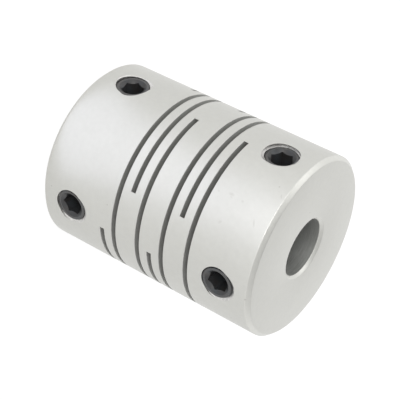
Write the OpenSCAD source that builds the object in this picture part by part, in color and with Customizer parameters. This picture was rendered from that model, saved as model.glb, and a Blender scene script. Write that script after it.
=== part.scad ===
// Flexible shaft coupling of the slit beam kind, turned from one bar of aluminium.
// Straight saw cuts, each made from one side and stopped short of the other, turn the
// middle of the bar into a spring between two rigid hubs. A bore for the shafts runs
// right through. Each hub has two set screws at a right angle, which grip its shaft.
// The axis is Z. The part stands on its lower end face, and the origin is the centre of
// that face. The set screws point along +X and +Y. Lengths are in millimetres.

/* [Body] */
// Outside diameter of the bar
body_d = 19; // [16:0.5:26]
// Length from end face to end face
body_len = 25; // [23:0.5:45]
// Chamfer around the rim of each end face, measured on the face
rim_chamfer = 0.4; // [0.1:0.05:1]
// Diameter of the bore for the shafts
bore_d = 6; // [4:0.5:8]
// Chamfer at each mouth of the bore, measured on the face
bore_chamfer = 0.3; // [0.1:0.05:0.8]

/* [Slits] */
// Width of each saw cut
slit_w = 0.5; // [0.3:0.05:0.7]
// Thickness of each disc left standing between two saw cuts
disc_t = 0.94; // [0.6:0.02:1.2]
// Thickness of the web left at the closed side of each saw cut, on its centre line
web_t = 4.9; // [3:0.1:6]
// Number of sets of cuts, where one set is a cut from each of four sides
slit_sets = 2; // [1:1:2]
// Distance of the group of cuts from mid-length, towards the upper end
slit_shift = 0.2; // [-0.5:0.05:0.5]
// Angle from +X to the first web
slit_twist = 33; // [0:1:90]

/* [Set screws] */
// Nominal diameter of the set screw thread
thread_d = 4; // [3:0.5:5]
// Pitch of the set screw thread
thread_pitch = 0.7; // [0.5:0.05:0.8]
// Length of each set screw
screw_len = 5; // [4:0.5:6]
// Distance from each end face to the set screws of that hub
screw_inset = 3.65; // [3:0.05:4.5]
// Angle between the two set screws of one hub
screw_angle = 90; // [60:5:120]
// Full depth of the hexagon socket
socket_depth = 2; // [1.2:0.1:2.2]
// Width of the countersink around the hexagon's corners
socket_lead = 0.06; // [0:0.01:0.15]
// Width of the broken edge around the face of a set screw
face_edge = 0.08; // [0.02:0.01:0.2]
// Width of the flat ring around the cup in the point
cup_rim = 0.2; // [0.05:0.05:0.4]

/* [Set screw settings] */
// Depth of the lower X screw's face under the barrel
lower_x_depth = 0.25; // [0:0.05:1]
// Depth of the lower Y screw's face under the barrel
lower_y_depth = 0.15; // [0:0.05:1]
// Depth of the upper X screw's face under the barrel
upper_x_depth = 0.4; // [0:0.05:1]
// Depth of the upper Y screw's face under the barrel
upper_y_depth = 0.05; // [0:0.05:1]
// Turn of the lower X screw's socket
lower_x_turn = 40; // [0:1:59]
// Turn of the lower Y screw's socket
lower_y_turn = 4; // [0:1:59]
// Turn of the upper X screw's socket
upper_x_turn = 2; // [0:1:59]
// Turn of the upper Y screw's socket
upper_y_turn = 17; // [0:1:59]

/* [Hidden] */
body_r = body_d / 2;
bore_r = bore_d / 2;
// Distance that a cut runs past the surface it opens
past = body_r / 10;

// Slits
slit_pitch = slit_w + disc_t;
// Webs stand on opposite sides in turn, first on one diameter and then across it
web_order = [0, 180, 90, 270];
slit_count = slit_sets * len(web_order);
// Distance from the axis to the straight end of each cut
slit_reach = body_r - web_t;

// Set screws. The thread stands on this core and is cut into the wall of this hole.
core_r = (thread_d - 1.22687 * thread_pitch) / 2;
tapped_hole_r = (thread_d - thread_pitch) / 2;
// The key is half the thread's diameter across its flats, and so is the point
key_af = thread_d / 2;
point_r = thread_d / 4;
hexagon_r = key_af / 2 / cos(30);
lead_r = hexagon_r + socket_lead;
lead_half_angle = 60;
drill_half_angle = 59;
lower_screw_z = screw_inset;
upper_screw_z = body_len - screw_inset;
// The seam of the turned faces lies on the side away from the set screws
seam_angle = 180 + screw_angle / 2;

$fn = 96;

// Half section of the bored bar, with its four chamfers
module bar_section() {
    polygon([
        [bore_r + bore_chamfer, 0],
        [body_r - rim_chamfer, 0],
        [body_r, rim_chamfer],
        [body_r, body_len - rim_chamfer],
        [body_r - rim_chamfer, body_len],
        [bore_r + bore_chamfer, body_len],
        [bore_r, body_len - bore_chamfer],
        [bore_r, bore_chamfer]
    ]);
}

// One saw cut, which leaves a web on the side that the angle names
module slit(web_angle, z) {
    far = body_r + past;
    rotate([0, 0, web_angle])
        translate([-far, -far, z - slit_w / 2])
            cube([far + slit_reach, 2 * far, slit_w]);
}

module slits() {
    first_z = body_len / 2 + slit_shift - (slit_count - 1) * slit_pitch / 2;
    for (i = [0 : slit_count - 1]) {
        slit(slit_twist + web_order[i % len(web_order)], first_z + i * slit_pitch);
    }
}

// Puts its children on the line of a set screw, at a distance from the axis, with their
// own Z pointing outwards
module on_screw_line(angle, z, r) {
    rotate([0, 0, angle])
        translate([r, 0, z])
            rotate([0, 90, 0])
                children();
}

module tapped_hole(angle, z) {
    on_screw_line(angle, z, 0)
        cylinder(r = tapped_hole_r, h = body_r + past);
}

module coupling_body() {
    color([0.82, 0.82, 0.8])
        difference() {
            rotate([0, 0, seam_angle])
                rotate_extrude() bar_section();
            slits();
            for (z = [lower_screw_z, upper_screw_z]) {
                tapped_hole(0, z);
                tapped_hole(screw_angle, z);
            }
        }
}

// Half section of a set screw with its face at 0 and its cup point down
module screw_section() {
    cup_r = point_r - cup_rim;
    polygon([
        [0, 0],
        [core_r - face_edge, 0],
        [core_r, -face_edge],
        [core_r, core_r - point_r - screw_len],
        [point_r, -screw_len],
        [cup_r, -screw_len],
        [0, -screw_len + cup_r / tan(drill_half_angle)]
    ]);
}

// Hexagon socket with a countersunk mouth and the drilled cone at its bottom
module socket() {
    lead_h = lead_r / tan(lead_half_angle);
    cone_h = key_af / 2 / tan(drill_half_angle);
    translate([0, 0, -socket_depth])
        cylinder(r = hexagon_r, h = socket_depth + past, $fn = 6);
    translate([0, 0, -lead_h])
        cylinder(r1 = 0, r2 = 2 * lead_r, h = 2 * lead_h);
    translate([0, 0, -socket_depth - cone_h])
        cylinder(r1 = 0, r2 = key_af / 2, h = cone_h);
}

module set_screw(angle, z, depth, turn) {
    color([0.13, 0.13, 0.14])
        on_screw_line(angle, z, body_r - depth)
            difference() {
                rotate_extrude() screw_section();
                rotate([0, 0, turn]) socket();
            }
}

module lower_x_set_screw() {
    set_screw(0, lower_screw_z, lower_x_depth, lower_x_turn);
}

module lower_y_set_screw() {
    set_screw(screw_angle, lower_screw_z, lower_y_depth, lower_y_turn);
}

module upper_x_set_screw() {
    set_screw(0, upper_screw_z, upper_x_depth, upper_x_turn);
}

module upper_y_set_screw() {
    set_screw(screw_angle, upper_screw_z, upper_y_depth, upper_y_turn);
}

coupling_body();
lower_x_set_screw();
lower_y_set_screw();
upper_x_set_screw();
upper_y_set_screw();
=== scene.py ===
"""Dresses the slit beam shaft coupling: one bored aluminium bar with eight saw cuts, and four
black set screws with real threads. Shapes and marks are written in millimetres, and a finished
mesh is in metres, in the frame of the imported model. Noises and the studio are in metres."""

import logging
import math
from dataclasses import dataclass
from enum import Enum

import bmesh
import bpy
from mathutils import Matrix, Vector


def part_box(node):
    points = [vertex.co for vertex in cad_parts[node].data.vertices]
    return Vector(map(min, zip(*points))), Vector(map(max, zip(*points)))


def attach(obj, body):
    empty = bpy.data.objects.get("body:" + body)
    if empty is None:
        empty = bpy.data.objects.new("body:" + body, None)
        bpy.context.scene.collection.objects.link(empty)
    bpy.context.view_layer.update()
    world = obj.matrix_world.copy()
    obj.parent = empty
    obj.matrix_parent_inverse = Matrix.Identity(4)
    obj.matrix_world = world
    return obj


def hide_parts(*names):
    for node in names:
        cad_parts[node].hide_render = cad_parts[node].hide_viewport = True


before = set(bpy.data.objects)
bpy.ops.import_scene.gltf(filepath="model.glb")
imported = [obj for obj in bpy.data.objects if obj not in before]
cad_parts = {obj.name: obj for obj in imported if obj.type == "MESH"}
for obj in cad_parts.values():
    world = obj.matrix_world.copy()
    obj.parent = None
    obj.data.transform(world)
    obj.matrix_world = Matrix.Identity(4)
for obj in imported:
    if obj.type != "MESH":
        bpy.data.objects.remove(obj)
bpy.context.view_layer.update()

log = logging.getLogger("coupling")

Pair = tuple[float, float]
Outline = list[Pair]
Colour = tuple[float, float, float]
Solid = bpy.types.Object
Material = bpy.types.Material
Socket = bpy.types.NodeSocket
Tree = bpy.types.NodeTree

MM = 0.001
# A point closer to the axis is on it
ON_AXIS = 1e-6
# How far a tool runs past the surface that it opens
OVERRUN = 1.0
# How far the foot of a thread's ridge lies inside the core that it stands on
RIDGE_SUNK = 0.06
# Half of the angle of a drill's point, in degrees
DRILL_HALF_ANGLE = 59
# Faces that meet at a larger angle than this keep a crisp edge, in degrees
CRISP_ANGLE = 28
# The rounding of a corner takes at most this share of a side
LARGEST_ROUNDING = 0.45


class Cut(Enum):
    """What a second solid does to a first one."""

    REMOVE = "DIFFERENCE"
    KEEP_COMMON = "INTERSECT"


class Hub(Enum):
    """The two rigid ends of the coupling."""

    LOWER = "lower"
    UPPER = "upper"


class Side(Enum):
    """The two sides that set screws point to, with their angle about the shaft axis."""

    X = 0
    Y = 90

    def matrix(self) -> Matrix:
        """Turns a screw drawn with its axis on Z so that it points to this side."""
        return Matrix.Rotation(math.radians(self.value), 4, "Z") @ Matrix.Rotation(math.pi / 2, 4, "Y")


# Node trees


class ShapeTree:
    """A geometry node tree, written one node at a time."""

    def __init__(self, name: str) -> None:
        """Starts an empty tree.

        Args:
            name: The name of the tree.
        """
        self.group = bpy.data.node_groups.new(name, "GeometryNodeTree")
        self.group.interface.new_socket("Geometry", in_out="OUTPUT", socket_type="NodeSocketGeometry")
        self.source = self.group.nodes.new("NodeGroupInput")

    def size(self, name: str, kind: str = "Float") -> Socket:
        """Adds a named input.

        Args:
            name: The name that the input shows.
            kind: The kind of socket, as in NodeSocketFloat.

        Returns:
            The input's socket inside the tree.
        """
        self.group.interface.new_socket(name, in_out="INPUT", socket_type="NodeSocket" + kind)
        return self.source.outputs[name]

    def node(self, kind: str, wires: dict[str | int, object], **settings: object) -> bpy.types.Node:
        """Adds a node and wires or sets its inputs.

        Args:
            kind: The node's type. A geometry node's goes without its GeometryNode prefix.
            wires: For each input, by name or number, a socket to link or a value to set.
            **settings: The node's own properties.

        Returns:
            The node.
        """
        prefix = "" if kind.startswith("Shader") else "GeometryNode"
        made = self.group.nodes.new(prefix + kind)
        for key, value in settings.items():
            setattr(made, key, value)
        for key, value in wires.items():
            if isinstance(value, Socket):
                self.group.links.new(value, made.inputs[key])
            else:
                made.inputs[key].default_value = value
        return made

    def sum(self, operation: str, *terms: object) -> Socket:
        """Adds a Math node.

        Args:
            operation: The operation, such as ADD.
            *terms: Its inputs, as sockets or numbers.

        Returns:
            The result's socket.
        """
        return self.node("ShaderNodeMath", dict(enumerate(terms)), operation=operation).outputs[0]

    def finish(self, geometry: Socket, material: Socket) -> Tree:
        """Ends the tree in Realize Instances and Set Material.

        Args:
            geometry: The finished shape.
            material: The material input.

        Returns:
            The finished tree.
        """
        real = self.node("RealizeInstances", {"Geometry": geometry})
        dressed = self.node("SetMaterial", {"Geometry": real.outputs[0], "Material": material})
        end = self.group.nodes.new("NodeGroupOutput")
        self.group.links.new(dressed.outputs[0], end.inputs[0])
        return self.group


def helical_rod_tree() -> Tree:
    """A rod with a right-hand thread standing on it, for a screw or, as a tool, for a tapped hole.

    Returns:
        The tree. Its helix starts at height 0 on the +X side and climbs one pitch a turn.
    """
    tree = ShapeTree("helical rod")
    pitch = tree.size("Pitch")
    turns = tree.size("Turns")
    core = tree.size("Core Radius")
    crest = tree.size("Crest Radius")
    flat = tree.size("Crest Flat")
    slope = tree.size("Flank Slope")
    sides = tree.size("Sides", "Int")
    material = tree.size("Material", "Material")

    height = tree.sum("MULTIPLY", pitch, turns)
    root = tree.sum("SUBTRACT", core, RIDGE_SUNK)
    rise = tree.sum("SUBTRACT", crest, root)
    half_flat = tree.sum("MULTIPLY", flat, 0.5)
    half_foot = tree.sum("ADD", half_flat, tree.sum("MULTIPLY", rise, slope))

    half_section = [(0.0, half_foot), (rise, half_flat)]
    lower = [(out, up, -1) for out, up in half_section]
    upper = [(out, up, 1) for out, up in reversed(half_section)]
    corners = {}
    for number, (out, up, sign) in enumerate(lower + upper, 1):
        corner = tree.node("ShaderNodeCombineXYZ", {0: out, 1: tree.sum("MULTIPLY", up, sign)})
        corners["Point %d" % number] = corner.outputs[0]
    section = tree.node("CurvePrimitiveQuadrilateral", corners, mode="POINTS")
    spiral = {"Resolution": sides, "Rotations": turns, "Start Radius": root, "End Radius": root}
    helix = tree.node("CurveSpiral", spiral | {"Height": height, "Reverse": True})
    upright = tree.node("SetCurveNormal", {"Curve": helix.outputs[0]}, mode="Z_UP")
    sweep = {"Curve": upright.outputs[0], "Profile Curve": section.outputs[0], "Fill Caps": True}
    ridge = tree.node("CurveToMesh", sweep)

    core_height = tree.sum("ADD", height, pitch)
    bar = tree.node("MeshCylinder", {"Vertices": sides, "Radius": core, "Depth": core_height})
    lift = tree.node("ShaderNodeCombineXYZ", {2: tree.sum("MULTIPLY", height, 0.5)})
    raised = tree.node("Transform", {"Geometry": bar.outputs["Mesh"], "Translation": lift.outputs[0]})
    joined = tree.node("MeshBoolean", {"Mesh 2": ridge.outputs[0]}, operation="UNION", solver="MANIFOLD")
    tree.group.links.new(raised.outputs[0], joined.inputs["Mesh 2"])
    return tree.finish(joined.outputs["Mesh"], material)


def saw_cut_tree() -> Tree:
    """A stack of saw blades along Z, each turned to its own side.

    Returns:
        The tree. The blades open to opposite sides in turn, first on one diameter, then across it.
    """
    tree = ShapeTree("saw cuts")
    blade = tree.size("Blade", "Object")
    count = tree.size("Count", "Int")
    first = tree.size("First Height")
    pitch = tree.size("Pitch")
    twist = tree.size("First Web Angle")
    material = tree.size("Material", "Material")

    start = tree.node("ShaderNodeCombineXYZ", {2: first})
    step = tree.node("ShaderNodeCombineXYZ", {2: pitch})
    line = {"Count": count, "Start Location": start.outputs[0], "Offset": step.outputs[0]}
    places = tree.node("MeshLine", line, mode="OFFSET")
    number = tree.node("InputIndex", {}).outputs[0]
    opposite = tree.sum("MULTIPLY", tree.sum("MODULO", number, 2.0), math.pi)
    pair = tree.sum("FLOOR", tree.sum("DIVIDE", tree.sum("MODULO", number, 4.0), 2.0))
    turn = tree.sum("ADD", tree.sum("ADD", twist, opposite), tree.sum("MULTIPLY", pair, math.pi / 2))
    rotation = tree.node("ShaderNodeCombineXYZ", {2: turn})
    shape = tree.node("ObjectInfo", {"Object": blade})
    spots = {"Points": places.outputs[0], "Instance": shape.outputs["Geometry"]}
    blades = tree.node("InstanceOnPoints", spots | {"Rotation": rotation.outputs[0]})
    return tree.finish(blades.outputs[0], material)


def grown(name: str, tree: Tree, sizes: dict[str, object]) -> Solid:
    """Runs a shape tree on a bare object and keeps the result as a plain mesh.

    Args:
        name: The new object's name.
        tree: The shape tree.
        sizes: A value for each of the tree's inputs, by name.

    Returns:
        An object that holds the mesh and no modifier.
    """
    made = placed(name, bpy.data.meshes.new(name))
    modifier = made.modifiers.new(tree.name, "NODES")
    modifier.node_group = tree
    for item in tree.interface.items_tree:
        if item.in_out == "INPUT":
            modifier[item.identifier] = sizes[item.name]
    return settled(made)


# Solids


def placed(name: str, mesh: bpy.types.Mesh) -> Solid:
    """Puts a mesh in the scene as an object at the origin.

    Args:
        name: The new object's name.
        mesh: The mesh.

    Returns:
        The object.
    """
    made = bpy.data.objects.new(name, mesh)
    bpy.context.scene.collection.objects.link(made)
    return made


def settled(part: Solid) -> Solid:
    """Turns an object's modifiers into its mesh.

    Args:
        part: The object.

    Returns:
        The same object, with the evaluated mesh and no modifier.
    """
    evaluated = part.evaluated_get(bpy.context.evaluated_depsgraph_get())
    mesh = bpy.data.meshes.new_from_object(evaluated)
    part.modifiers.clear()
    part.data = mesh
    return part


def carved(part: Solid, tool: Solid, cut: Cut) -> Solid:
    """Cuts one solid with another and discards the tool.

    Args:
        part: The solid to cut.
        tool: The solid that cuts it.
        cut: Whether the tool's space is removed or is all that is kept.

    Returns:
        The cut part. The faces that the tool leaves keep the tool's material.
    """
    modifier = part.modifiers.new("cut", "BOOLEAN")
    modifier.operation = cut.value
    modifier.solver = "MANIFOLD"
    modifier.material_mode = "TRANSFER"
    modifier.object = tool
    settled(part)
    bpy.data.objects.remove(tool)
    return part


def softened(outline: Outline, radius: float, steps: int = 3) -> Outline:
    """Rounds the corners of a closed outline.

    Args:
        outline: The corners, in order.
        radius: How far from a corner its rounding starts.
        steps: The number of straight pieces in each rounding.

    Returns:
        The rounded outline. Corners on the axis stay sharp.
    """
    rounded: Outline = []
    for index, corner in enumerate(outline):
        if corner[0] < ON_AXIS:
            rounded.append(corner)
            continue
        here = Vector(corner)
        ends = []
        for neighbour in (outline[index - 1], outline[(index + 1) % len(outline)]):
            away = Vector(neighbour) - here
            ends.append(here + away.normalized() * min(radius, away.length * LARGEST_ROUNDING))
        for step in range(steps + 1):
            share = step / steps
            point = ends[0].lerp(here, share).lerp(here.lerp(ends[1], share), share)
            rounded.append((point.x, point.y))
    return rounded


def turned(name: str, outline: Outline, sides: int) -> Solid:
    """Turns a closed outline of (radius, height) about Z into a solid.

    Args:
        name: The new object's name.
        outline: The outline. Points on the axis become poles.
        sides: The number of faces around the axis.

    Returns:
        The solid, with its faces pointing outwards.
    """
    shape = bmesh.new()
    rings = []
    for radius, height in outline:
        if radius < ON_AXIS:
            rings.append([shape.verts.new((0, 0, height))] * sides)
            continue
        turns = [2 * math.pi * side / sides for side in range(sides)]
        rings.append([shape.verts.new((radius * math.cos(a), radius * math.sin(a), height)) for a in turns])
    for lower, upper in zip(rings, rings[1:] + rings[:1]):
        for side in range(sides):
            ahead = (side + 1) % sides
            corners = list(dict.fromkeys([lower[side], lower[ahead], upper[ahead], upper[side]]))
            if len(corners) > 2:
                shape.faces.new(corners)
    bmesh.ops.recalc_face_normals(shape, faces=shape.faces)
    mesh = bpy.data.meshes.new(name)
    shape.to_mesh(mesh)
    shape.free()
    return placed(name, mesh)


def finished(part: Solid, body: str, node: str) -> Solid:
    """Hands a piece over: in metres, smooth where it is round, on its body and in its node's place.

    Args:
        part: The piece, in millimetres.
        body: The body that carries it.
        node: The solid that it stands for.

    Returns:
        The piece.
    """
    part.data.transform(Matrix.Scale(MM, 4))
    part.data.shade_smooth()
    part.data.set_sharp_from_angle(angle=math.radians(CRISP_ANGLE))
    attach(part, body)
    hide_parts(node)
    log.info("%s: %d faces, on %s, for %s", part.name, len(part.data.polygons), body, node)
    return part


# Finishes

# The span that holds nearly all values of one noise, and of several noises added together
NOISE_SPAN = (0.3, 0.7)
BLEND_SPAN = (0.35, 0.65)
# The number of finer layers in a soft noise
SOFT = 2.0
# Where a speck fades out, as a share of the specks' spacing
SPECK_EDGE = (0.04, 0.09)
# Where a mark fades out, as a share of its half size
MARK_EDGE = (0.4, 1.3)
# How deep a mark's finish reaches into the metal, in millimetres
MARK_REACH = 1.0


@dataclass(frozen=True)
class Mark:
    """A small dull mark on the barrel, in millimetres and degrees.

    Its angle is measured about the shaft axis from +X, and its slant from around towards +Z.
    """

    angle: float
    height: float
    length: float
    width: float
    slant: float
    strength: float


class FinishTree:
    """A material on object coordinates, written one node at a time."""

    def __init__(self, name: str, metallic: float, roughness: float) -> None:
        """Starts a finish.

        Args:
            name: The material's name.
            metallic: The shader's metallic value.
            roughness: The shader's roughness where no pattern is linked to it.
        """
        self.material = bpy.data.materials.new(name)
        self.material.use_nodes = True
        self.nodes = self.material.node_tree.nodes
        self.links = self.material.node_tree.links
        self.shader = self.nodes["Principled BSDF"]
        self.shader.inputs["Metallic"].default_value = metallic
        self.shader.inputs["Roughness"].default_value = roughness
        self.place = self.node("TexCoord", {}).outputs["Object"]

    def node(self, kind: str, wires: dict[str | int, object], **settings: object) -> bpy.types.Node:
        """Adds a node and wires or sets its inputs.

        Args:
            kind: The node's type, without its ShaderNode prefix.
            wires: For each input, by name or number, a socket to link or a value to set.
            **settings: The node's own properties.

        Returns:
            The node.
        """
        made = self.nodes.new("ShaderNode" + kind)
        for key, value in settings.items():
            setattr(made, key, value)
        for key, value in wires.items():
            if isinstance(value, Socket):
                self.links.new(value, made.inputs[key])
            else:
                made.inputs[key].default_value = value
        return made

    def sum(self, operation: str, *terms: object) -> Socket:
        """Adds a Math node and returns its result's socket."""
        return self.node("Math", dict(enumerate(terms)), operation=operation).outputs[0]

    def grain(self, size: float, detail: float = 3.0, stretch: Vector = Vector((1, 1, 1))) -> Socket:
        """Adds an even noise.

        Args:
            size: The size of a grain in metres.
            detail: The number of finer layers.
            stretch: How many times finer it is along each axis.

        Returns:
            The noise's value, about 0.5 on average.
        """
        place = self.node("Mapping", {"Vector": self.place, "Scale": stretch}).outputs[0]
        noise = self.node("TexNoise", {"Vector": place, "Scale": 1.0 / size, "Detail": detail})
        return noise.outputs[0]

    def specks(self, spacing: float, share: float) -> Socket:
        """Adds small specks far apart.

        Args:
            spacing: The distance between places where a speck may be, in metres.
            share: The share of those places that have one.

        Returns:
            1 in the middle of a speck, down to 0 outside.
        """
        cells = self.node("TexVoronoi", {"Vector": self.place, "Scale": 1.0 / spacing})
        near = self.spread(cells.outputs["Distance"], SPECK_EDGE, (1.0, 0.0))
        lot = self.node("SeparateColor", {"Color": cells.outputs["Color"]}).outputs["Red"]
        return self.sum("MULTIPLY", near, self.sum("LESS_THAN", lot, share))

    def mark(self, mark: Mark, radius: float) -> Socket:
        """Adds one soft-edged mark on a barrel.

        Args:
            mark: The mark.
            radius: The barrel's radius in millimetres.

        Returns:
            The mark's strength in its middle, down to 0 outside.
        """
        angle = math.radians(mark.angle)
        middle = Vector((radius * math.cos(angle), radius * math.sin(angle), mark.height)) * MM
        size = Vector((MARK_REACH, mark.length / 2, mark.width / 2)) * MM
        turn = (math.radians(mark.slant), 0.0, angle)
        wires = {"Vector": self.place, "Location": middle, "Rotation": turn, "Scale": size}
        local = self.node("Mapping", wires, vector_type="TEXTURE").outputs[0]
        distance = self.node("VectorMath", {0: local}, operation="LENGTH").outputs["Value"]
        return self.spread(distance, MARK_EDGE, (mark.strength, 0.0))

    def spread(self, value: Socket, span: Pair, ends: Pair = (0.0, 1.0)) -> Socket:
        """Maps a span of a value onto another span.

        Args:
            value: The value.
            span: Where the span starts and ends.
            ends: What the two ends become.

        Returns:
            The mapped value, held between the ends.
        """
        wires = {0: value, 1: span[0], 2: span[1], 3: ends[0], 4: ends[1]}
        return self.node("MapRange", wires, clamp=True).outputs[0]

    def uneven(self, pattern: Socket, roughness: float, stray: Pair) -> Socket:
        """Adds a roughness that strays with a noise and returns its socket."""
        return self.spread(pattern, NOISE_SPAN, (roughness + stray[0], roughness + stray[1]))

    def colour(self, amount: Socket, dark: Colour | Socket, light: Colour) -> Socket:
        """Blends two colours by an amount and returns the blend's socket."""
        first = dark if isinstance(dark, Socket) else (*dark, 1.0)
        return self.node("Mix", {0: amount, 6: first, 7: (*light, 1.0)}, data_type="RGBA").outputs[2]

    def relief(self, height: Socket, depth: float) -> Socket:
        """Adds a bump of a depth in metres and returns its normal's socket."""
        return self.node("Bump", {"Height": height, "Distance": depth, "Strength": 1.0}).outputs[0]

    def dress(self, colour: Socket, roughness: Socket, normal: Socket) -> Material:
        """Links the patterns to the shader.

        Args:
            colour: The base colour.
            roughness: The roughness.
            normal: The normal.

        Returns:
            The finished material.
        """
        for name, socket in (("Base Color", colour), ("Roughness", roughness), ("Normal", normal)):
            self.links.new(socket, self.shader.inputs[name])
        return self.material


@dataclass(frozen=True)
class BlastedAluminium:
    """Fine-blasted aluminium under a clear anodised film, as on the barrel and the end faces.

    Grain, mottle and cloud are its noises from fine to coarse, each with its size in metres and
    its share of the tone.
    """

    light: Colour = (0.675, 0.674, 0.64)
    dark: Colour = (0.635, 0.634, 0.60)
    dull: Colour = (0.50, 0.495, 0.46)
    roughness: float = 0.52
    stray: Pair = (-0.04, 0.04)
    grain_size: float = 0.00007
    grain_share: float = 0.4
    grain_depth: float = 0.0000025
    mottle_size: float = 0.0005
    mottle_share: float = 0.35
    cloud_size: float = 0.004
    cloud_share: float = 0.25
    speck_spacing: float = 0.0011
    speck_share: float = 0.14
    film: float = 0.6
    film_roughness: float = 0.35
    film_ior: float = 1.6
    marks: tuple[Mark, ...] = (
        Mark(angle=47, height=23.2, length=0.75, width=0.16, slant=25, strength=0.55),
        Mark(angle=38, height=19.9, length=0.6, width=0.3, slant=91, strength=0.45),
        Mark(angle=39.5, height=20.0, length=0.3, width=0.15, slant=66, strength=0.3),
        Mark(angle=39, height=21.2, length=0.3, width=0.25, slant=66, strength=0.4),
        Mark(angle=39.5, height=18.6, length=0.3, width=0.2, slant=73, strength=0.4),
        Mark(angle=54.5, height=20.1, length=0.45, width=0.25, slant=139, strength=0.35),
        Mark(angle=91, height=24.6, length=0.2, width=0.2, slant=0, strength=0.9),
        Mark(angle=27, height=24.2, length=0.5, width=0.14, slant=33, strength=0.45),
    )

    def material(self, radius: float) -> Material:
        """Builds the material.

        Args:
            radius: The barrel's radius in millimetres.

        Returns:
            The material.
        """
        tree = FinishTree("blasted_anodised_aluminium", 1.0, self.roughness)
        tree.shader.inputs["Coat Weight"].default_value = self.film
        tree.shader.inputs["Coat Roughness"].default_value = self.film_roughness
        tree.shader.inputs["Coat IOR"].default_value = self.film_ior
        grain = tree.grain(self.grain_size)
        cloud = tree.grain(self.cloud_size, SOFT)
        mottle = tree.grain(self.mottle_size, SOFT)
        tone = tree.sum("MULTIPLY", grain, self.grain_share)
        for layer, share in ((mottle, self.mottle_share), (cloud, self.cloud_share)):
            tone = tree.sum("ADD", tone, tree.sum("MULTIPLY", layer, share))
        clean = tree.colour(tree.spread(tone, BLEND_SPAN), self.dark, self.light)
        flaws = tree.specks(self.speck_spacing, self.speck_share)
        for mark in self.marks:
            flaws = tree.sum("MAXIMUM", flaws, tree.mark(mark, radius))
        colour = tree.colour(flaws, clean, self.dull)
        rough = tree.uneven(grain, self.roughness, self.stray)
        return tree.dress(colour, rough, tree.relief(grain, self.grain_depth))


@dataclass(frozen=True)
class SawnAluminium:
    """The walls of the saw cuts, with the saw's fine lines, duller than the barrel."""

    light: Colour = (0.60, 0.60, 0.575)
    dark: Colour = (0.45, 0.45, 0.43)
    metallic: float = 0.5
    roughness: float = 0.45
    stray: Pair = (-0.08, 0.08)
    ior: float = 1.7
    line_length: float = 0.00025
    line_fineness: float = 6.0
    line_depth: float = 0.00002

    def material(self) -> Material:
        """Builds the material.

        Returns:
            The material.
        """
        tree = FinishTree("sawn_aluminium", self.metallic, self.roughness)
        tree.shader.inputs["IOR"].default_value = self.ior
        lines = tree.grain(self.line_length, stretch=Vector((1.0, self.line_fineness, 1.0)))
        colour = tree.colour(tree.spread(lines, NOISE_SPAN), self.dark, self.light)
        rough = tree.uneven(lines, self.roughness, self.stray)
        return tree.dress(colour, rough, tree.relief(lines, self.line_depth))


@dataclass(frozen=True)
class BoredAluminium:
    """The reamed bore, with faint rings. Its colours are set darker than the barrel's, as painted shade
    inside the bore.
    """

    # Darker than the barrel's colours: painted shade inside the bore.
    light: Colour = (0.44, 0.445, 0.43)
    dark: Colour = (0.31, 0.315, 0.30)
    roughness: float = 0.7
    stray: Pair = (-0.05, 0.07)
    ring_length: float = 0.0012
    ring_fineness: float = 24.0
    ring_depth: float = 0.00001

    def material(self) -> Material:
        """Builds the material.

        Returns:
            The material.
        """
        tree = FinishTree("reamed_aluminium", 1.0, self.roughness)
        rings = tree.grain(self.ring_length, stretch=Vector((1.0, 1.0, self.ring_fineness)))
        colour = tree.colour(tree.spread(rings, NOISE_SPAN), self.dark, self.light)
        rough = tree.uneven(rings, self.roughness, self.stray)
        return tree.dress(colour, rough, tree.relief(rings, self.ring_depth))


@dataclass(frozen=True)
class TappedAluminium:
    """The cut threads of the set screw holes, a little torn. Their colours are set lighter than the
    barrel's, as a painted highlight on the lit rims of the holes.
    """

    # Lighter than the barrel's colours: a painted highlight on the holes' lit rims.
    light: Colour = (0.82, 0.81, 0.79)
    dark: Colour = (0.60, 0.59, 0.57)
    roughness: float = 0.3
    stray: Pair = (0.0, 0.15)
    tear_size: float = 0.0002
    tear_depth: float = 0.000008

    def material(self) -> Material:
        """Builds the material.

        Returns:
            The material.
        """
        tree = FinishTree("tapped_aluminium", 1.0, self.roughness)
        tears = tree.grain(self.tear_size)
        colour = tree.colour(tree.spread(tears, NOISE_SPAN), self.dark, self.light)
        rough = tree.uneven(tears, self.roughness, self.stray)
        return tree.dress(colour, rough, tree.relief(tears, self.tear_depth))


@dataclass(frozen=True)
class BlackOxide:
    """Black oxide on the steel set screws, slightly oily."""

    name: str = "black_oxide_steel"
    light: Colour = (0.036, 0.042, 0.047)
    dark: Colour = (0.030, 0.025, 0.022)
    roughness: float = 0.34
    stray: Pair = (-0.06, 0.08)
    ior: float = 1.55
    grain_size: float = 0.00009
    grain_share: float = 0.4
    grain_depth: float = 0.000003
    cloud_size: float = 0.0009
    cloud_share: float = 0.6

    def material(self) -> Material:
        """Builds the material.

        Returns:
            The material.
        """
        tree = FinishTree(self.name, 0.0, self.roughness)
        tree.shader.inputs["IOR"].default_value = self.ior
        grain = tree.grain(self.grain_size)
        cloud = tree.grain(self.cloud_size, SOFT)
        fine = tree.sum("MULTIPLY", grain, self.grain_share)
        coarse = tree.sum("MULTIPLY", cloud, self.cloud_share)
        tone = tree.sum("ADD", fine, coarse)
        colour = tree.colour(tree.spread(tone, BLEND_SPAN), self.dark, self.light)
        rough = tree.uneven(cloud, self.roughness, self.stray)
        return tree.dress(colour, rough, tree.relief(grain, self.grain_depth))


def rubbed_black_oxide() -> BlackOxide:
    """A lighter copy of the black oxide, for the flat ring around each countersink: a painted highlight.

    Returns:
        The finish.
    """
    return BlackOxide(
        name="rubbed_black_oxide",
        light=(0.062, 0.066, 0.070),
        dark=(0.048, 0.043, 0.038),
        roughness=0.38,
        ior=1.72,
    )


# Sub-assemblies


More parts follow.
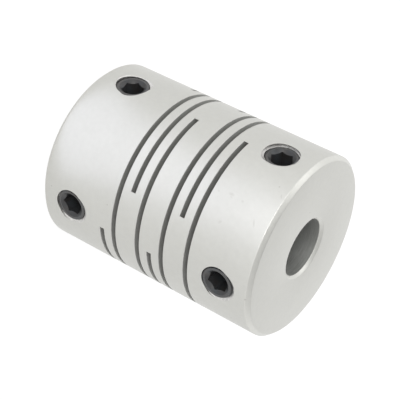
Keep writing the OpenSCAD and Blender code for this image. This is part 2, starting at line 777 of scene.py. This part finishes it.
@dataclass
class Thread:
    """A right-hand M4 thread, with the room between a screw and its hole."""

    pitch: float = 0.7
    hole_radius: float = 1.7
    groove_radius: float = 2.02
    screw_crest: float = 1.965
    screw_core: float = 1.571
    screw_flat: float = 0.06
    groove_flat: float = 0.07
    flank_angle: float = 30.0
    sides: int = 72

    def rod(
        self, name: str, tree: Tree, start: float, low: float, high: float, inside: bool, material: Material
    ) -> Solid:
        """Makes a threaded rod, or the tool that cuts the thread of a hole.

        Args:
            name: The new object's name.
            tree: The helical rod tree.
            start: The height of the ridge's middle at angle 0, less whole turns.
            low: The height that the rod reaches down to.
            high: The height that it reaches up to.
            inside: Whether it is the tool for a hole.
            material: The material of its faces.

        Returns:
            The rod, with its axis on Z.
        """
        first = math.floor((low - start) / self.pitch)
        turns = math.ceil((high - start) / self.pitch) - first
        sizes = {
            "Pitch": self.pitch,
            "Turns": float(turns),
            "Core Radius": self.hole_radius if inside else self.screw_core,
            "Crest Radius": self.groove_radius if inside else self.screw_crest,
            "Crest Flat": self.groove_flat if inside else self.screw_flat,
            "Flank Slope": math.tan(math.radians(self.flank_angle)),
            "Sides": self.sides,
            "Material": material,
        }
        rod = grown(name, tree, sizes)
        rod.data.transform(Matrix.Translation((0, 0, start + first * self.pitch)))
        return rod


@dataclass
class SetScrew:
    """A set screw with a hexagon socket and a cup point, in one hub, pointing to one side.

    Its turn is the socket's angle in degrees, and its thread start the height of the thread's
    ridge at angle 0, less whole turns. The blank is turned wider than the thread by blank_room,
    and shoulder_slope is the depth of its broken edge for each millimetre of width. Facets less
    than lit_ring_depth under the face, with a normal more upright than lit_ring_level, get a
    lighter copy of the black oxide, which is a painted highlight on the flat ring that faces out.
    The tap starts at tap_start from the shaft axis, inside the bore.
    """

    hub: Hub
    side: Side
    turn: float
    thread_start: float
    socket_flats: float = 2.0
    socket_depth: float = 2.0
    drill_share: float = 0.98
    countersink: float = 1.36
    countersink_half_angle: float = 48.0
    face_radius: float = 1.62
    point_radius: float = 1.0
    cup_rim: float = 0.2
    blank_room: float = 0.1
    shoulder_slope: float = 1.8
    edge: float = 0.035
    # The flat ring that faces out around the countersink gets a lighter black oxide: a painted highlight.
    lit_ring_depth: float = 0.012
    lit_ring_level: float = 0.8
    tap_start: float = 1.0
    sides: int = 96
    drill_sides: int = 48

    @property
    def label(self) -> str:
        """The name that the screw shares with its node and body."""
        return "%s_%s" % (self.hub.value, self.side.name.lower())

    @property
    def node(self) -> str:
        """The name of the screw's solid."""
        return self.label + "_set_screw"

    def reach(self) -> tuple[float, float, float]:
        """Reads the solid's place from the frame.

        Returns:
            The distances of its point and its face from the shaft axis, and its height, in millimetres.
        """
        low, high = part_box(self.node)
        axis = 0 if self.side is Side.X else 1
        return low[axis] / MM, high[axis] / MM, (low.z + high.z) / 2 / MM

    def at_place(self, part: Solid, height: float) -> None:
        """Moves a mesh drawn on Z to the screw's line.

        Args:
            part: The object whose mesh is moved.
            height: The height of the screw's line on the coupling.
        """
        part.data.transform(Matrix.Translation((0, 0, height)) @ self.side.matrix())

    def blank(self, point: float, face: float, crest: float) -> Solid:
        """Turns the screw's body, wider than its thread, with its face, countersink and cup.

        Args:
            point: The height of the point.
            face: The height of the face.
            crest: The radius of the thread's crests.

        Returns:
            The blank.
        """
        wide = crest + self.blank_room
        cup = self.point_radius - self.cup_rim
        sink = self.countersink / math.tan(math.radians(self.countersink_half_angle))
        outline = [
            (0.0, face - sink),
            (self.countersink, face),
            (self.face_radius, face),
            (wide, face - (wide - self.face_radius) * self.shoulder_slope),
            (wide, point + wide - self.point_radius),
            (self.point_radius, point),
            (cup, point),
            (0.0, point + cup / math.tan(math.radians(DRILL_HALF_ANGLE))),
        ]
        return turned(self.label + "_blank", softened(outline, self.edge), self.sides)

    def socket(self, face: float) -> Solid:
        """Makes the tool for the hexagon socket.

        Args:
            face: The height of the screw's face.

        Returns:
            The tool.
        """
        corner = self.socket_flats / 2 / math.cos(math.radians(30))
        bottom = face - self.socket_depth
        top = face + OVERRUN
        outline = [(0.0, bottom), (corner, bottom), (corner, top), (0.0, top)]
        prism = turned(self.label + "_socket", outline, 6)
        prism.data.transform(Matrix.Rotation(math.radians(self.turn), 4, "Z"))
        return prism

    def drill(self, face: float) -> Solid:
        """Makes the drill that goes before the socket, with its cone under the socket's bottom.

        Args:
            face: The height of the screw's face.

        Returns:
            The drill.
        """
        radius = self.socket_flats / 2 * self.drill_share
        bottom = face - self.socket_depth
        top = face + OVERRUN
        tip = bottom - radius / math.tan(math.radians(DRILL_HALF_ANGLE))
        outline = [(0.0, tip), (radius, bottom), (radius, top), (0.0, top)]
        return turned(self.label + "_drill", outline, self.drill_sides)

    def paint_lit_ring(self, part: Solid, face: float, finish: Material) -> None:
        """Gives the flat ring around the countersink a lighter copy of the black oxide, as a painted
        highlight.

        Args:
            part: The screw, with its axis on Z.
            face: The height of its face.
            finish: The lighter finish of the ring, which paints its highlight.
        """
        part.data.materials.append(finish)
        index = len(part.data.materials) - 1
        for facet in part.data.polygons:
            if facet.center.z > face - self.lit_ring_depth and facet.normal.z > self.lit_ring_level:
                facet.material_index = index

    def build(self, thread: Thread, tree: Tree, finish: Material, lit_ring_finish: Material) -> Solid:
        """Builds the screw in its place.

        Args:
            thread: The thread of the screw and its hole.
            tree: The helical rod tree.
            finish: The screw's material.
            lit_ring_finish: The lighter material of the flat ring around its countersink, a painted
                highlight.

        Returns:
            The finished piece.
        """
        point, face, height = self.reach()
        screw = self.blank(point, face, thread.screw_crest)
        screw.data.materials.append(finish)
        low, high = point - OVERRUN, face + OVERRUN
        rod = thread.rod(self.label + "_rod", tree, self.thread_start, low, high, False, finish)
        carved(screw, rod, Cut.KEEP_COMMON)
        carved(screw, self.drill(face), Cut.REMOVE)
        carved(screw, self.socket(face), Cut.REMOVE)
        self.paint_lit_ring(screw, face, lit_ring_finish)
        screw.name = self.label + "_hex_socket_screw"
        self.at_place(screw, height)
        return finished(screw, self.label + "_screw", self.node)

    def tap(self, thread: Thread, tree: Tree, barrel_radius: float, finish: Material) -> Solid:
        """Makes the tool that cuts the screw's threaded hole, in its place.

        Args:
            thread: The thread of the screw and its hole.
            tree: The helical rod tree.
            barrel_radius: The radius of the coupling's barrel.
            finish: The material that the hole is left with.

        Returns:
            The tool.
        """
        height = self.reach()[2]
        low, high = self.tap_start, barrel_radius + OVERRUN
        tool = thread.rod(self.label + "_tap", tree, self.thread_start, low, high, True, finish)
        self.at_place(tool, height)
        return tool


@dataclass
class SlitBar:
    """The coupling's body: a bored bar whose middle is sawn into a spring.

    A blade reaches past the barrel by blade_past, and leaves its cut's edges broken by burr.
    Faces within bore_margin of the bore's radius belong to its wall.
    """

    radius: float = 9.5
    length: float = 25.0
    bore_radius: float = 3.0
    rim_chamfer: float = 0.4
    bore_chamfer: float = 0.3
    edge: float = 0.05
    slit_width: float = 0.5
    slit_pitch: float = 1.44
    slit_count: int = 8
    slit_shift: float = 0.2
    web: float = 4.9
    first_web: float = 33.0
    burr: float = 0.03
    blade_past: float = 0.3
    bore_margin: float = 0.02
    sides: int = 256

    def bar(self) -> Solid:
        """Turns and bores the bar, with softened chamfers.

        Returns:
            The bar.
        """
        outline = [
            (self.bore_radius + self.bore_chamfer, 0.0),
            (self.radius - self.rim_chamfer, 0.0),
            (self.radius, self.rim_chamfer),
            (self.radius, self.length - self.rim_chamfer),
            (self.radius - self.rim_chamfer, self.length),
            (self.bore_radius + self.bore_chamfer, self.length),
            (self.bore_radius, self.length - self.bore_chamfer),
            (self.bore_radius, self.bore_chamfer),
        ]
        return turned("bar", softened(outline, self.edge), self.sides)

    def blade(self) -> Solid:
        """Makes one saw blade at height 0, which leaves its web on the +X side.

        Returns:
            The blade. Its rim flares a little, so that it breaks the edges of its cut.
        """
        half = self.slit_width / 2
        rim = self.radius - self.burr
        past = self.radius + self.blade_past
        flare = half + past - rim
        outline = [(0.0, -half), (rim, -half), (past, -flare), (past, flare), (rim, half), (0.0, half)]
        blade = turned("blade", outline, self.sides)
        shape = bmesh.new()
        shape.from_mesh(blade.data)
        everything = shape.verts[:] + shape.edges[:] + shape.faces[:]
        end = (self.radius - self.web, 0, 0)
        sliced = bmesh.ops.bisect_plane(
            shape, geom=everything, plane_co=end, plane_no=(1, 0, 0), clear_outer=True
        )
        rim_edges = [item for item in sliced["geom_cut"] if isinstance(item, bmesh.types.BMEdge)]
        bmesh.ops.holes_fill(shape, edges=rim_edges)
        bmesh.ops.recalc_face_normals(shape, faces=shape.faces)
        shape.to_mesh(blade.data)
        shape.free()
        return blade

    def saw_cuts(self, finish: Material) -> Solid:
        """Stacks the blades that cut all the slits.

        Args:
            finish: The material that the cuts are left with.

        Returns:
            The stack, as one tool.
        """
        blade = self.blade()
        middle = self.length / 2 + self.slit_shift
        sizes = {
            "Blade": blade,
            "Count": self.slit_count,
            "First Height": middle - (self.slit_count - 1) * self.slit_pitch / 2,
            "Pitch": self.slit_pitch,
            "First Web Angle": math.radians(self.first_web),
            "Material": finish,
        }
        stack = grown("saw_cuts", saw_cut_tree(), sizes)
        bpy.data.objects.remove(blade)
        return stack

    def dress_bore(self, part: Solid, finish: Material) -> None:
        """Gives the bore's wall its own finish.

        Args:
            part: The cut body.
            finish: The finish of the bore.
        """
        part.data.materials.append(finish)
        index = len(part.data.materials) - 1
        for face in part.data.polygons:
            away = Vector((face.center.x, face.center.y, 0))
            near = away.length < self.bore_radius + self.bore_margin
            if face.material_index == 0 and near and face.normal.dot(away) < 0:
                face.material_index = index

    def build(self, screws: list[SetScrew], thread: Thread, tree: Tree) -> Solid:
        """Builds the body with its slits and tapped holes.

        Args:
            screws: The set screws whose holes it has.
            thread: Their thread.
            tree: The helical rod tree.

        Returns:
            The finished piece.
        """
        body = self.bar()
        body.data.materials.append(BlastedAluminium().material(self.radius))
        carved(body, self.saw_cuts(SawnAluminium().material()), Cut.REMOVE)
        tapped = TappedAluminium().material()
        for screw in screws:
            carved(body, screw.tap(thread, tree, self.radius, tapped), Cut.REMOVE)
        self.dress_bore(body, BoredAluminium().material())
        body.name = "slit_bar"
        return finished(body, "coupling", "coupling_body")


@dataclass
class Studio:
    """The pale floor, the soft lights and the camera, in metres and degrees.

    Sky holds two heights of the surroundings and then their light at each, and patch does the
    same for how nearly they lie toward the camera. The floor glows by floor_glow to the eye and
    to mirrors, and by floor_lift more to the eye alone. Its glow lights nothing.
    """

    eye: Vector = Vector((0.078608, 0.083915, 0.069164))
    aim: Vector = Vector((-0.000233, 0.000219, 0.012675))
    roll: float = 116.479
    lens: float = 115.38
    sky: tuple[float, ...] = (0.3, 1.0, 1.20, 0.42)
    patch: tuple[float, ...] = (0.93, 0.985, 1.0, 0.3)
    floor_paint: Colour = (0.26, 0.26, 0.26)
    floor_lift: float = 0.17
    floor_glow: float = 0.655
    card_start: float = 0.0098
    card_half_width: float = 0.009
    card_height: float = 0.0002

    def camera(self) -> None:
        """Sets the camera, with the coupling's axis slanting down the picture."""
        lens = bpy.data.cameras.new("camera")
        lens.lens = self.lens
        lens.sensor_width = 36.0
        lens.clip_start = 0.005
        lens.clip_end = 20.0
        camera = bpy.data.objects.new("camera", lens)
        bpy.context.scene.collection.objects.link(camera)
        ahead = (self.aim - self.eye).to_track_quat("-Z", "Y").to_matrix().to_4x4()
        turn = Matrix.Rotation(math.radians(self.roll), 4, "Z")
        camera.matrix_world = Matrix.Translation(self.eye) @ ahead @ turn
        bpy.context.scene.camera = camera

    def seen(self, nodes: bpy.types.Nodes, links: bpy.types.NodeLinks) -> Socket:
        """Adds nodes that tell what the eye and mirrors see from what lights the scene.

        Args:
            nodes: The nodes to add to.
            links: Their links.

        Returns:
            1 for a camera, glossy or transmission ray, and 0 for any other.
        """
        path = nodes.new("ShaderNodeLightPath")
        either = path.outputs["Is Camera Ray"]
        for name in ("Is Glossy Ray", "Is Transmission Ray"):
            both = nodes.new("ShaderNodeMath")
            both.operation = "MAXIMUM"
            links.new(either, both.inputs[0])
            links.new(path.outputs[name], both.inputs[1])
            either = both.outputs[0]
        return either

    def world(self) -> None:
        """Makes the surroundings white to the eye. Their light dims overhead and near the camera."""
        world = bpy.data.worlds.new("surroundings")
        world.use_nodes = True
        bpy.context.scene.world = world
        nodes, links = world.node_tree.nodes, world.node_tree.links
        place = nodes.new("ShaderNodeTexCoord")
        height = nodes.new("ShaderNodeSeparateXYZ")
        links.new(place.outputs["Generated"], height.inputs[0])
        soft = nodes.new("ShaderNodeMapRange")
        links.new(height.outputs["Z"], soft.inputs[0])
        for number, value in enumerate(self.sky, 1):
            soft.inputs[number].default_value = value
        toward = nodes.new("ShaderNodeVectorMath")
        toward.operation = "DOT_PRODUCT"
        links.new(place.outputs["Generated"], toward.inputs[0])
        toward.inputs[1].default_value = self.eye.normalized()
        dim = nodes.new("ShaderNodeMapRange")
        links.new(toward.outputs["Value"], dim.inputs[0])
        for number, value in enumerate(self.patch, 1):
            dim.inputs[number].default_value = value
        dimmed = nodes.new("ShaderNodeMath")
        dimmed.operation = "MULTIPLY"
        links.new(soft.outputs[0], dimmed.inputs[0])
        links.new(dim.outputs[0], dimmed.inputs[1])
        path = nodes.new("ShaderNodeLightPath")
        level = nodes.new("ShaderNodeMix")
        links.new(path.outputs["Is Camera Ray"], level.inputs[0])
        links.new(dimmed.outputs[0], level.inputs[2])
        level.inputs[3].default_value = 1.0
        back = nodes["Background"]
        back.inputs["Color"].default_value = (1, 1, 1, 1)
        links.new(level.outputs[0], back.inputs["Strength"])

    def floor(self) -> None:
        """Lays a pale floor that reads as white and keeps the coupling's shadow."""
        bpy.ops.mesh.primitive_plane_add(size=3.0)
        floor = bpy.context.object
        floor.name = "floor"
        material = bpy.data.materials.new("pale_floor")
        material.use_nodes = True
        nodes, links = material.node_tree.nodes, material.node_tree.links
        paint = nodes["Principled BSDF"]
        paint.inputs["Base Color"].default_value = (*self.floor_paint, 1)
        paint.inputs["Roughness"].default_value = 0.9
        paint.inputs["Specular IOR Level"].default_value = 0.0
        glow = nodes.new("ShaderNodeEmission")
        glow.inputs["Color"].default_value = (1, 1, 1, 1)
        strength = nodes.new("ShaderNodeMath")
        strength.operation = "MULTIPLY_ADD"
        path = nodes.new("ShaderNodeLightPath")
        links.new(path.outputs["Is Camera Ray"], strength.inputs[0])
        strength.inputs[1].default_value = self.floor_lift
        mirrored = nodes.new("ShaderNodeMath")
        mirrored.operation = "MULTIPLY"
        links.new(self.seen(nodes, links), mirrored.inputs[0])
        mirrored.inputs[1].default_value = self.floor_glow
        links.new(mirrored.outputs[0], strength.inputs[2])
        links.new(strength.outputs[0], glow.inputs["Strength"])
        both = nodes.new("ShaderNodeAddShader")
        links.new(paint.outputs[0], both.inputs[0])
        links.new(glow.outputs[0], both.inputs[1])
        links.new(both.outputs[0], nodes["Material Output"].inputs["Surface"])
        floor.data.materials.append(material)

    def card(self, azimuth: float, spread: float, reach: float, level: Colour) -> None:
        """Lays a fan-shaped light card on the floor, which puts the long sheen on the barrel.

        Args:
            azimuth: Its direction about the shaft axis, in degrees from +X.
            spread: Half of its angle at the barrel's foot, in degrees.
            reach: Its length in metres.
            level: Its light, where 1 is white.
        """
        near, low = self.card_half_width, self.card_height
        side = near + reach * math.tan(math.radians(spread))
        start, end = self.card_start, self.card_start + reach
        mesh = bpy.data.meshes.new("light_card")
        corners = [(start, -near, low), (end, -side, low), (end, side, low), (start, near, low)]
        mesh.from_pydata(corners, [], [(0, 1, 2, 3)])
        mesh.transform(Matrix.Rotation(math.radians(azimuth), 4, "Z"))
        material = bpy.data.materials.new("light_card")
        material.use_nodes = True
        nodes, links = material.node_tree.nodes, material.node_tree.links
        glow = nodes.new("ShaderNodeEmission")
        glow.inputs["Color"].default_value = (*level, 1)
        links.new(glow.outputs[0], nodes["Material Output"].inputs["Surface"])
        mesh.materials.append(material)
        card = placed("light_card", mesh)
        card.visible_camera = card.visible_diffuse = card.visible_shadow = False

    def lamp(
        self, name: str, azimuth: float, elevation: float, distance: float, size: Pair, power: float
    ) -> None:
        """Hangs a soft rectangular lamp that faces the coupling.

        Args:
            name: The lamp's name.
            azimuth: Its direction about the shaft axis, in degrees from +X.
            elevation: Its height over the horizon, in degrees.
            distance: Its distance in metres.
            size: Its width and height in metres.
            power: Its power in watts.
        """
        light = bpy.data.lights.new(name, "AREA")
        light.shape = "RECTANGLE"
        light.size, light.size_y = size
        light.energy = power
        lamp = bpy.data.objects.new(name, light)
        bpy.context.scene.collection.objects.link(lamp)
        across, up = math.radians(azimuth), math.radians(elevation)
        ahead = Vector((math.cos(across) * math.cos(up), math.sin(across) * math.cos(up), math.sin(up)))
        place = ahead * distance
        facing = (-place).to_track_quat("-Z", "Y").to_matrix().to_4x4()
        lamp.matrix_world = Matrix.Translation(place) @ facing

    def build(self) -> None:
        """Sets up the whole studio."""
        self.camera()
        self.world()
        self.floor()
        self.card(azimuth=39, spread=20, reach=0.15, level=(1.25, 1.26, 1.34))
        self.lamp("key", azimuth=39, elevation=25, distance=0.5, size=(0.25, 0.25), power=0.9)
        self.lamp("side", azimuth=-42, elevation=48, distance=0.5, size=(0.2, 0.2), power=0.3)
        bpy.context.scene.view_settings.view_transform = "Standard"


def main() -> None:
    """Builds the coupling and its studio."""
    logging.basicConfig(level=logging.INFO, format="%(name)s: %(message)s")
    tree = helical_rod_tree()
    thread = Thread()
    bar = SlitBar()
    screws = [
        SetScrew(Hub.LOWER, Side.X, turn=40, thread_start=0.58),
        SetScrew(Hub.LOWER, Side.Y, turn=4, thread_start=0.06),
        SetScrew(Hub.UPPER, Side.X, turn=2, thread_start=0.2),
        SetScrew(Hub.UPPER, Side.Y, turn=17, thread_start=0.04),
    ]
    bar.build(screws, thread, tree)
    black = BlackOxide().material()
    # A lighter black oxide for the screws' face rings, as a painted highlight.
    lit_ring_finish = rubbed_black_oxide().material()
    for screw in screws:
        screw.build(thread, tree, black, lit_ring_finish)
    Studio().build()


if __name__ == "__main__":
    main()
